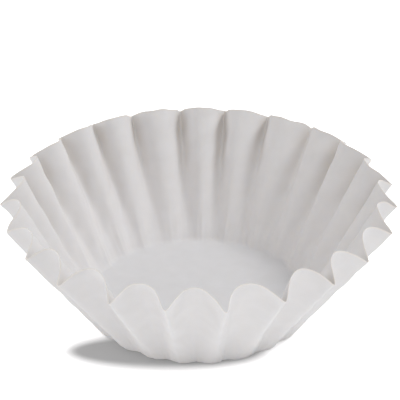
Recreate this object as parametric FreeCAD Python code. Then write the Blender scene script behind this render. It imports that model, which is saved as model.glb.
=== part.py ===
import FreeCAD, Part
import math
import os

os.makedirs("parts", exist_ok=True)

# the round sheet before it is fluted
flat_diameter = 247.65
# thickness of the paper
paper = 0.20
# flat round bottom, up to the start of the bend
bottom_diameter = 104.0
# how far the edge of the bottom runs out and in with the flutes
edge_wave = 0.8
# radius of the bend from the bottom into the wall
bend_radius = 3.2
# number of flutes round the wall
flute_count = 24
# rise of the wall along the outward folds and along the inward folds, degrees
outward_rise = 56.1
inward_rise = 64.4
# how much narrower than the inward folds the outward ones are, at the rim and at the bottom
rim_pinch = 0.53
bottom_pinch = -0.30
# direction of the first outward fold seen from above, degrees
first_fold = 7.0
# hand-pressed unevenness: sideways drift of the folds, degrees, and change of their depth, share
fold_drift = 0.6
depth_drift = 0.07
# lean of the whole wall to one side, and its spread to an oval, degrees of slope
wall_lean = 1.2
wall_oval = 1.0
# creases that draw one flute, and how much closer they lie on the outward fold
creases = 14
crease_pinch = 0.35
# rows of facets up the bend and up the wall
bend_rows = 3
wall_rows = 4


def edge(phase):
    # radius of the flat bottom there; phase 0 is an outward fold
    return bottom_diameter / 2 + edge_wave * math.cos(phase)


def wall_run(phase):
    # length of paper from the edge of the flat bottom to the rim
    return flat_diameter / 2 - edge(phase)


def direction(phase, run):
    # where a place on the flutes lies round the middle
    pinch = bottom_pinch + (rim_pinch - bottom_pinch) * run / wall_run(phase)
    turn = (phase - pinch * math.sin(phase)) / flute_count
    drift = fold_drift * (math.sin(3 * turn + 2.1) + math.sin(8 * turn + 5.1))
    return turn + math.radians(first_fold + drift)


def rise(phase):
    # slope of the wall there, radians
    turn = phase / flute_count
    lean = wall_lean * math.sin(turn + 5.8) + wall_oval * math.sin(2 * turn + 2.4)
    middle = (outward_rise + inward_rise) / 2 + lean
    half = (inward_rise - outward_rise) / 2 * (1 + depth_drift * math.sin(5 * turn + 0.4))
    return math.radians(middle - half * math.cos(phase))


def middle_of_sheet(phase, run):
    # half-way through the paper, at a distance run up it from the edge of the flat bottom
    turn = direction(phase, run)
    slope = rise(phase)
    bent = min(run / bend_radius, slope)
    straight = run - bent * bend_radius
    r = edge(phase) + bend_radius * math.sin(bent) + straight * math.cos(bent)
    z = paper / 2 + bend_radius * (1 - math.cos(bent)) + straight * math.sin(bent)
    return FreeCAD.Vector(r * math.cos(turn), r * math.sin(turn), z)


def face_of_sheet(phase, run, side):
    # the same place on the outside of the paper for side 1, on the inside for side -1
    d = 0.001
    round_way = middle_of_sheet(phase + d, run) - middle_of_sheet(phase - d, run)
    up_way = middle_of_sheet(phase, run + d) - middle_of_sheet(phase, run - d)
    out = round_way.cross(up_way).normalize()
    return middle_of_sheet(phase, run) + out * (side * paper / 2)


def phases():
    steps = [2 * math.pi * k / creases for k in range(creases)]
    flute = [q - crease_pinch * math.sin(q) for q in steps]
    return [2 * math.pi * n + p for n in range(flute_count) for p in flute]


def rows(phase):
    bend = bend_radius * rise(phase)
    up_bend = [bend * k / bend_rows for k in range(bend_rows)]
    up_wall = [bend + (wall_run(phase) - bend) * k / wall_rows for k in range(wall_rows + 1)]
    return up_bend + up_wall


def facet(*corners):
    return Part.Face(Part.makePolygon(list(corners) + [corners[0]]))


def cell(a, b, c, d, turned):
    # two facets between neighbouring creases, parted the same way on both flanks of a fold
    if turned:
        return [facet(a, b, d), facet(b, c, d)]
    return [facet(a, b, c), facet(a, c, d)]


faces = []
rims = []
all_phases = phases()
count = len(all_phases)
for side in (1, -1):
    grid = [[face_of_sheet(p, run, side) for run in rows(p)] for p in all_phases]
    faces.append(facet(*[column[0] for column in grid]))
    for k, column in enumerate(grid):
        after = grid[(k + 1) % count]
        turned = math.sin(all_phases[k] + 0.01) > 0
        for j in range(bend_rows + wall_rows):
            faces += cell(column[j], after[j], after[j + 1], column[j + 1], turned)
    rims.append([column[-1] for column in grid])

# cut edge of the paper along the rim
for k in range(count):
    n = (k + 1) % count
    faces += cell(rims[0][k], rims[0][n], rims[1][n], rims[1][k], True)

shell = Part.makeShell(faces)
shell.sewShape()
filter_paper = Part.makeSolid(shell)
if filter_paper.Volume < 0:
    filter_paper.reverse()
filter_paper.exportStep("parts/filter_paper.step")
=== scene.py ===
import math

import bpy
import numpy as np
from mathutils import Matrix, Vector


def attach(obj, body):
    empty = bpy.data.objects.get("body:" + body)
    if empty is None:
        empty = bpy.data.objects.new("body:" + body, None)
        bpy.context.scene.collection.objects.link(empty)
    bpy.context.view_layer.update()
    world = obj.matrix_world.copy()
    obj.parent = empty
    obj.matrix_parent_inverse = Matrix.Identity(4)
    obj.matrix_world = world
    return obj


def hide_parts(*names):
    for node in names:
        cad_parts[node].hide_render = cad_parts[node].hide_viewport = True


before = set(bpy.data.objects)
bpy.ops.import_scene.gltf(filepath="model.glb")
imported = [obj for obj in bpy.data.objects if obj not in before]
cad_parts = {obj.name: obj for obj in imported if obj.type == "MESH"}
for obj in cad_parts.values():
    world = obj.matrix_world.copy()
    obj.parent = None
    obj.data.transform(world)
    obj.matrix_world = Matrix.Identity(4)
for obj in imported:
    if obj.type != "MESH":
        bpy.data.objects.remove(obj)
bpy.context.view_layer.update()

# sizes of the filter, metres and degrees: those of the solid
FLAT_RADIUS = 0.247650 / 2
PAPER = 0.00020
BOTTOM_RADIUS = 0.104 / 2
EDGE_WAVE = 0.0008
BEND_RADIUS = 0.0032
FLUTES = 24
OUTWARD_RISE = 56.1
INWARD_RISE = 64.4
RIM_PINCH = 0.53
BOTTOM_PINCH = -0.30
FIRST_FOLD = 7.0
FOLD_DRIFT = 0.6
DEPTH_DRIFT = 0.07
WALL_LEAN = 1.2
WALL_OVAL = 1.0
# waves of this unevenness: how many round the filter, and how far each is turned, radians
LEAN_WAVE = (1, 5.8)
OVAL_WAVE = (2, 2.4)
DEPTH_WAVE = (5, 0.4)
DRIFT_WAVES = ((3, 2.1), (8, 5.1))

# fineness of the visual mesh
COLUMNS_PER_FLUTE = 28
COLUMN_PINCH = 0.15         # how much closer the columns lie on the outward folds
BEND_ROWS = 8
WALL_ROWS = 42
BOTTOM_RINGS = 9
FIRST_RING = 0.05           # share of the bottom's radius
SHARP_ANGLE = 55            # degrees; only the cut rim is sharper

# small unevenness of real paper, on the visual mesh only
rng = np.random.default_rng(24)
FOLD_SHIFT = 0.35           # degrees, each fold by itself
FOLD_DEPTH = 0.06           # share, each fold by itself
LOBE_TOP = 0.08             # how much flatter the tops of the inward folds are
RIM_RAGGED = 0.00018        # how unevenly the rim is cut
RIM_WAVES = (20, 90, 14)    # fewest and most round the rim, and how many are added up
BUCKLE = 0.00012            # soft dents in the flanks
BUCKLE_FROM = 0.2           # share of the wall over which they come in
BUCKLE_WAVES = 26
BUCKLE_ROUND = (10, 70)     # waves round the filter
BUCKLE_UP = (1.0, 6.0)      # waves up the wall
PUCKER = 0.00010            # small creases above the bend
PUCKER_HEIGHT = 0.010       # where on the wall they are deepest, and how far they run
PUCKER_WAVES = (60, 129, 12)


def wave(angle, count, turned):
    return np.sin(count * angle + turned)


def periodic_noise(angle, lowest, highest, waves):
    """Smooth noise round the filter, about -1 to 1."""
    total = np.zeros_like(angle)
    for _ in range(waves):
        total += wave(angle, rng.integers(lowest, highest + 1), rng.uniform(0, 2 * math.pi))
    return total / math.sqrt(waves / 2)


def wall_noise(angle, share):
    """Smooth noise round and up the wall, about -1 to 1."""
    total = np.zeros_like(share)
    for _ in range(BUCKLE_WAVES):
        k = rng.integers(*BUCKLE_ROUND)
        m = rng.uniform(*BUCKLE_UP)
        total += np.sin(k * angle + m * 2 * math.pi * share + rng.uniform(0, 2 * math.pi))
    return total / math.sqrt(BUCKLE_WAVES / 2)


def fold_noise(phase, spread):
    """A value of its own for each outward and each inward fold, eased between them."""
    values = rng.normal(0, spread, 2 * FLUTES).clip(-2 * spread, 2 * spread)
    place = (phase / math.pi) % (2 * FLUTES)
    k = np.floor(place).astype(int)
    ease = (1 - np.cos(math.pi * (place - k))) / 2
    return values[k % (2 * FLUTES)] * (1 - ease) + values[(k + 1) % (2 * FLUTES)] * ease


def normals(grid):
    """Outward normal of the sheet at each point of the grid."""
    round_way = np.roll(grid, -1, axis=1) - np.roll(grid, 1, axis=1)
    up_way = np.gradient(grid, axis=0)
    n = np.cross(round_way, up_way)
    return n / np.linalg.norm(n, axis=2, keepdims=True)


# columns of the mesh: straight fibres of the paper; phase 0 is an outward fold
step = 2 * math.pi * np.arange(COLUMNS_PER_FLUTE) / COLUMNS_PER_FLUTE
one_flute = step - COLUMN_PINCH * np.sin(step)
phase = (2 * math.pi * np.arange(FLUTES)[:, None] + one_flute[None, :]).ravel()

# slope of the wall along each column
around = phase / FLUTES
lean = WALL_LEAN * wave(around, *LEAN_WAVE) + WALL_OVAL * wave(around, *OVAL_WAVE)
middle = (OUTWARD_RISE + INWARD_RISE) / 2 + lean
half = (INWARD_RISE - OUTWARD_RISE) / 2 * (1 + DEPTH_DRIFT * wave(around, *DEPTH_WAVE))
half = half * (1 + fold_noise(phase, FOLD_DEPTH))
fold = np.cos(phase) + LOBE_TOP * (np.cos(2 * phase) - 1)
rise = np.radians(middle - half * fold)

# rows of the mesh: distance run along the paper from the edge of the flat bottom
edge = BOTTOM_RADIUS + EDGE_WAVE * np.cos(phase)
wall_run = FLAT_RADIUS - edge
rim_run = wall_run + RIM_RAGGED * periodic_noise(around, *RIM_WAVES)
bend_run = BEND_RADIUS * rise
bottom_share = np.linspace(FIRST_RING, 1, BOTTOM_RINGS, endpoint=False)
rows = [(s - 1) * edge for s in bottom_share]
rows += [bend_run * k / BEND_ROWS for k in range(BEND_ROWS)]
wall_share = np.linspace(0, 1, WALL_ROWS + 1)
rows += [bend_run + (rim_run - bend_run) * s for s in wall_share]
run = np.array(rows)

# direction of each point, seen from above
pinch = BOTTOM_PINCH + (RIM_PINCH - BOTTOM_PINCH) * np.maximum(run, 0) / wall_run
turn = (phase - pinch * np.sin(phase)) / FLUTES
drift = FOLD_DRIFT * sum(wave(turn, *of_drift) for of_drift in DRIFT_WAVES)
turn = turn + np.radians(FIRST_FOLD + drift + fold_noise(phase, FOLD_SHIFT))

# half-way through the paper: flat bottom, bend, straight wall
bent = np.minimum(np.maximum(run, 0) / BEND_RADIUS, rise)
straight = np.where(run > 0, run - bent * BEND_RADIUS, run)
radius = edge + BEND_RADIUS * np.sin(bent) + straight * np.cos(bent)
height = PAPER / 2 + BEND_RADIUS * (1 - np.cos(bent)) + np.maximum(straight, 0) * np.sin(bent)
sheet = np.stack([radius * np.cos(turn), radius * np.sin(turn), height], axis=2)

# soft dents in the flanks, and small creases that fan out above the bend
up = np.clip(run / wall_run, 0, 1)
dents = BUCKLE * wall_noise(around, up) * np.clip(up / BUCKLE_FROM, 0, 1)
puckered = np.exp(-((run - PUCKER_HEIGHT) / PUCKER_HEIGHT) ** 2) * (run > 0)
creases = PUCKER * periodic_noise(around, *PUCKER_WAVES) * puckered
sheet = sheet + normals(sheet) * (dents + creases)[:, :, None]
sheet[:, :, 2] = np.maximum(sheet[:, :, 2], PAPER / 2)

out = normals(sheet)
outside = sheet + out * PAPER / 2
inside = sheet - out * PAPER / 2

# faces: both sides of the paper, the cut rim, and the middle of the bottom
n_rows, n_cols = run.shape
middles = [[0, 0, 0], [0, 0, PAPER]]
verts = np.concatenate([outside.reshape(-1, 3), inside.reshape(-1, 3), middles])
first_inside = n_rows * n_cols
middle_out, middle_in = 2 * first_inside, 2 * first_inside + 1
faces = []
for j in range(n_rows - 1):
    for k in range(n_cols):
        n = (k + 1) % n_cols
        low, high = j * n_cols, (j + 1) * n_cols
        corners = (low + k, low + n, high + n, high + k)
        faces.append(corners)
        faces.append(tuple(c + first_inside for c in reversed(corners)))
rim = (n_rows - 1) * n_cols
for k in range(n_cols):
    n = (k + 1) % n_cols
    faces.append((rim + k, rim + n, rim + n + first_inside, rim + k + first_inside))
    faces.append((middle_out, n, k))
    faces.append((middle_in, k + first_inside, n + first_inside))

mesh = bpy.data.meshes.new("filter_sheet")
mesh.from_pydata(verts.tolist(), [], faces)
mesh.update()
mesh.polygons.foreach_set("use_smooth", [True] * len(mesh.polygons))
mesh.set_sharp_from_angle(angle=math.radians(SHARP_ANGLE))

# where each point lay on the flat sheet, for the grain of the paper; the inside has its own grain
reach = BOTTOM_RADIUS + run
flat = np.stack([reach * np.cos(around), reach * np.sin(around), 0 * reach], axis=2).reshape(-1, 3)
inside_shift = [0, 0, 0.05]
flat_all = np.concatenate([flat, flat + inside_shift, [[0, 0, 0], inside_shift]])
place = mesh.attributes.new("flat_sheet", "FLOAT_VECTOR", "POINT")
place.data.foreach_set("vector", flat_all.astype(np.float32).ravel())

# how far each point lies from the rim; for the middle of the bottom, any long way will do
below = (rim_run - run).ravel()
long_way = [1.0, 1.0]
rim_way = mesh.attributes.new("to_rim", "FLOAT", "POINT")
rim_way.data.foreach_set("value", np.concatenate([below, below, long_way]).astype(np.float32))

sheet_piece = bpy.data.objects.new("filter_sheet", mesh)
bpy.context.scene.collection.objects.link(sheet_piece)
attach(sheet_piece, "root")
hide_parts("filter_paper")


def node(tree, kind, inputs=None, **settings):
    """A new node. Each input, by name or number, gets a value or the output of another node."""
    made = tree.nodes.new(kind)
    for key, value in settings.items():
        setattr(made, key, value)
    for key, value in (inputs or {}).items():
        if isinstance(value, bpy.types.NodeSocket):
            tree.links.new(value, made.inputs[key])
        else:
            made.inputs[key].default_value = value
    return made


def smooth_step(tree, value, start, end, before, after):
    """before on the near side of start, after on the far side of end, eased between them."""
    inputs = {"Value": value, "From Min": start, "From Max": end, "To Min": before, "To Max": after}
    return node(tree, "ShaderNodeMapRange", inputs, interpolation_type="SMOOTHSTEP").outputs["Result"]


def mix_colours(tree, share, first, second):
    """The first colour, and as much of the second as share says."""
    a, b, mixed = 6, 7, 2    # the node's colour sockets
    return node(tree, "ShaderNodeMix", {0: share, a: first, b: second}, data_type="RGBA").outputs[mixed]


def noise(tree, place, scale, detail):
    inputs = {"Vector": place, "Scale": scale, "Detail": detail}
    return node(tree, "ShaderNodeTexNoise", inputs).outputs["Fac"]


def openness(tree, distance, **settings):
    """1 where nothing is near, 0 where things close by cover the place."""
    return node(tree, "ShaderNodeAmbientOcclusion", {"Distance": distance}, **settings).outputs["AO"]


def vector_math(tree, operation, first, second):
    inputs = {0: first, 1: second}
    return node(tree, "ShaderNodeVectorMath", inputs, operation=operation).outputs["Vector"]


def length(tree, vector):
    return node(tree, "ShaderNodeVectorMath", {0: vector}, operation="LENGTH").outputs["Value"]


def arithmetic(tree, operation, first, second):
    return node(tree, "ShaderNodeMath", {0: first, 1: second}, operation=operation).outputs["Value"]


def add_shaders(tree, first, second):
    return node(tree, "ShaderNodeAddShader", {0: first, 1: second}).outputs["Shader"]


def unseen_and_seen(tree, unseen, seen):
    """One shader for the light that falls on things, another for what the camera is shown."""
    rays = node(tree, "ShaderNodeLightPath").outputs
    straight_or_mirrored = arithmetic(tree, "MAXIMUM", rays["Is Camera Ray"], rays["Is Glossy Ray"])
    shown = arithmetic(tree, "MAXIMUM", straight_or_mirrored, rays["Is Transmission Ray"])
    return node(tree, "ShaderNodeMixShader", {0: shown, 1: unseen, 2: seen}).outputs["Shader"]


def new_material(name):
    material = bpy.data.materials.new(name)
    material.use_nodes = True
    material.node_tree.nodes.clear()
    return material, material.node_tree


# paper: matt, white, a little see-through
CLOUD_SCALE = 140.0
THIN_PULP = (0.845, 0.827, 0.826, 1)
THICK_PULP = (0.88, 0.864, 0.866, 1)
CLOUD_RANGE = (0.25, 0.75)       # values of the noise that are thin and thick
# painted light: the warm glow at the cut rim, and how wide it is
RIM_PAINTED_GLOW = (0.90, 0.855, 0.81, 1)
RIM_PAINTED_GLOW_WIDTH = 0.0012
# painted shade in the folds: its colour, how strong it gets, and how far and how deep it comes in
FOLD_PAINTED_SHADE = (0.60, 0.555, 0.505, 1)
FOLD_PAINTED_SHADE_SHARE = 0.45
FOLD_REACH = 0.014               # from how far off a flank still darkens its neighbour
FOLD_OPEN = 0.75                 # openness at which a fold begins to darken
FOLD_DEEP = 0.35                 # openness at which it is darkest
CREPE = (600.0, 3200.0, 600.0)   # fineness of the creping along x, y and z of the flat sheet
FIBRE_SCALE = 2600.0
BUMP_STRENGTH = 0.08
BUMP_DEPTH = 0.00008

paper, tree = new_material("filter_paper_white")
flat_place = node(tree, "ShaderNodeAttribute", attribute_name="flat_sheet").outputs["Vector"]
# cloudy thickness of the pulp
clouds = noise(tree, flat_place, scale=CLOUD_SCALE, detail=4.0)
tint = node(tree, "ShaderNodeValToRGB", {"Fac": clouds})
for element, position, pulp in zip(tint.color_ramp.elements, CLOUD_RANGE, (THIN_PULP, THICK_PULP)):
    element.position = position
    element.color = pulp
# painted shade: the colour of the paper is darker and warmer in the folds, as light that has bounced
# from paper to paper there would be
in_fold = openness(tree, FOLD_REACH, only_local=True, samples=8)
painted_shade_share = smooth_step(tree, in_fold, FOLD_OPEN, FOLD_DEEP, 0.0, FOLD_PAINTED_SHADE_SHARE)
with_painted_shade = mix_colours(tree, painted_shade_share, tint.outputs["Color"], FOLD_PAINTED_SHADE)
# painted light: the colour of the cut rim is a little warmer, where the light goes through the edge
to_rim = node(tree, "ShaderNodeAttribute", attribute_name="to_rim").outputs["Fac"]
painted_rim_glow = smooth_step(tree, to_rim, RIM_PAINTED_GLOW_WIDTH, 0.0, 0.0, 1.0)
colour = mix_colours(tree, painted_rim_glow, with_painted_shade, RIM_PAINTED_GLOW)
# creping: fine ridges straight across the flat sheet, and fibres
squeeze = node(tree, "ShaderNodeMapping", {"Vector": flat_place, "Scale": CREPE}).outputs["Vector"]
crepe = noise(tree, squeeze, scale=1.0, detail=2.0)
fibres = noise(tree, flat_place, scale=FIBRE_SCALE, detail=3.0)
bump = node(tree, "ShaderNodeBump", {
    "Height": arithmetic(tree, "ADD", crepe, fibres),
    "Strength": BUMP_STRENGTH,
    "Distance": BUMP_DEPTH,
})
shader = node(tree, "ShaderNodeBsdfPrincipled", {
    "Base Color": colour,
    "Roughness": 0.93,
    "Specular IOR Level": 0.25,
    "Subsurface Weight": 0.20,
    "Subsurface Radius": (1.0, 0.80, 0.62),
    "Subsurface Scale": 0.0012,
    "Normal": bump.outputs["Normal"],
})
node(tree, "ShaderNodeOutputMaterial", {"Surface": shader.outputs["BSDF"]})
mesh.materials.append(paper)

# floor: a lit white table with painted shadows, which the camera is shown brighter than it shines on
# the paper
FLOOR_HALF = 3
FLOOR_DROP = 0.00002             # keeps it clear of the underside of the paper
TABLE = 0.92                     # how white it is
BOUNCE = 0.28                    # glow of the table on the outside of the filter
GLOW_FROM = 0.045                # the glow begins round the bottom and is full further out
GLOW_FULL = 0.100
SHOWN_LIFT = 0.50                # glow that the camera is shown
# painted shadows in the table's colour: a thin one close round the paper, and a long soft oval one at
# the front left
CLOSE_REACH = 0.007              # from how far off the paper still shades the table
CLOSE_COVERED = 0.15             # openness at which this thin close shadow is full
CLOSE_OPEN = 0.70                # openness at which it ends
CLOSE_SHARE = 0.66               # what is left of the light in it
LONG_MIDDLE = (-0.0148, -0.0441, 0)   # the long soft shadow at the front left, away from the light
LONG_HALF_SIZE = (0.0460, 0.0143, 1)
LONG_BLUR = 0.0062
LONG_SHARE = 0.25                # what is left of the light in it

corners = [(x * FLOOR_HALF, y * FLOOR_HALF, 0) for x, y in ((-1, -1), (1, -1), (1, 1), (-1, 1))]
floor_mesh = bpy.data.meshes.new("floor")
floor_mesh.from_pydata(corners, [], [(0, 1, 2, 3)])
floor = bpy.data.objects.new("floor", floor_mesh)
floor.location.z = -FLOOR_DROP
bpy.context.scene.collection.objects.link(floor)

floor_paint, tree = new_material("floor_white")
spot = node(tree, "ShaderNodeNewGeometry").outputs["Position"]
covered = openness(tree, CLOSE_REACH, samples=16)
painted_close_shadow = smooth_step(tree, covered, CLOSE_COVERED, CLOSE_OPEN, CLOSE_SHARE, 1.0)
# the long painted shadow is an oval: share is 1 on its edge, and steepness turns the rest of it into
# metres
off_middle = vector_math(tree, "SUBTRACT", spot, LONG_MIDDLE)
shares = vector_math(tree, "DIVIDE", off_middle, LONG_HALF_SIZE)
share = length(tree, shares)
steepness = length(tree, vector_math(tree, "DIVIDE", shares, LONG_HALF_SIZE))
rest = arithmetic(tree, "MULTIPLY", arithmetic(tree, "SUBTRACT", 1.0, share), share)
from_edge = arithmetic(tree, "DIVIDE", rest, steepness)
painted_oval_shadow = smooth_step(tree, from_edge, -LONG_BLUR, LONG_BLUR, 1.0, LONG_SHARE)
light_left = arithmetic(tree, "MINIMUM", painted_close_shadow, painted_oval_shadow)
shaded = node(tree, "ShaderNodeVectorMath", {0: (TABLE,) * 3, "Scale": light_left}, operation="SCALE")
shaded = shaded.outputs["Vector"]
glow = smooth_step(tree, length(tree, spot), GLOW_FROM, GLOW_FULL, 0.0, BOUNCE)
for_paper = add_shaders(
    tree,
    node(tree, "ShaderNodeBsdfDiffuse", {"Color": (TABLE, TABLE, TABLE, 1)}).outputs["BSDF"],
    node(tree, "ShaderNodeEmission", {"Strength": glow}).outputs["Emission"],
)
lift = node(tree, "ShaderNodeEmission", {"Color": shaded, "Strength": SHOWN_LIFT})
once, again = (node(tree, "ShaderNodeBsdfDiffuse", {"Color": shaded}).outputs["BSDF"] for _ in range(2))
for_camera = add_shaders(tree, add_shaders(tree, once, again), lift.outputs["Emission"])
node(tree, "ShaderNodeOutputMaterial", {"Surface": unseen_and_seen(tree, for_paper, for_camera)})
floor_mesh.materials.append(floor_paint)

# surroundings: soft light from all sides, and a white backdrop for the camera
SOFT_LIGHT = 0.52
BACKDROP = 1.0
WHITE = (1, 1, 1, 1)
world = bpy.data.worlds.new("studio")
world.use_nodes = True
tree = world.node_tree
tree.nodes.clear()
soft, white = (
    node(tree, "ShaderNodeBackground", {"Color": WHITE, "Strength": strength}).outputs["Background"]
    for strength in (SOFT_LIGHT, BACKDROP)
)
node(tree, "ShaderNodeOutputWorld", {"Surface": unseen_and_seen(tree, soft, white)})
bpy.context.scene.world = world

# lamps: round soft boxes that face the filter
LAMP_DISTANCE = 1.2
LAMP_TARGET = Vector((0, 0, 0.03))


def direction(azimuth, elevation):
    """Unit vector so many degrees round from +X and so many up."""
    a, e = math.radians(azimuth), math.radians(elevation)
    return Vector((math.cos(e) * math.cos(a), math.cos(e) * math.sin(a), math.sin(e)))


def lamp(name, azimuth, elevation, size, power):
    data = bpy.data.lights.new(name, "AREA")
    data.shape = "DISK"
    data.size = size
    data.energy = power
    made = bpy.data.objects.new(name, data)
    made.location = LAMP_TARGET + LAMP_DISTANCE * direction(azimuth, elevation)
    made.rotation_euler = (LAMP_TARGET - made.location).to_track_quat("-Z", "Y").to_euler()
    bpy.context.scene.collection.objects.link(made)


lamp("key", azimuth=8, elevation=52, size=0.36, power=4.6)
lamp("second", azimuth=195, elevation=16, size=0.40, power=1.3)

# camera, fitted to the photograph; distance and elevation are measured from the table below AIM
CAMERA_DISTANCE = 0.591
CAMERA_AZIMUTH = -90
CAMERA_ELEVATION = 34.1
AIM = Vector((0.0009, 0, 0.0551))
LENS = 107.3
SENSOR = 36
NEAR = 0.01
camera_data = bpy.data.cameras.new("camera")
camera_data.sensor_width = SENSOR
camera_data.lens = LENS
camera_data.clip_start = NEAR
camera = bpy.data.objects.new("camera", camera_data)
below_aim = Vector((AIM.x, AIM.y, 0))
camera.location = below_aim + CAMERA_DISTANCE * direction(CAMERA_AZIMUTH, CAMERA_ELEVATION)
camera.rotation_euler = (AIM - camera.location).to_track_quat("-Z", "Y").to_euler()
bpy.context.scene.collection.objects.link(camera)
bpy.context.scene.camera = camera

bpy.context.scene.view_settings.view_transform = "Standard"
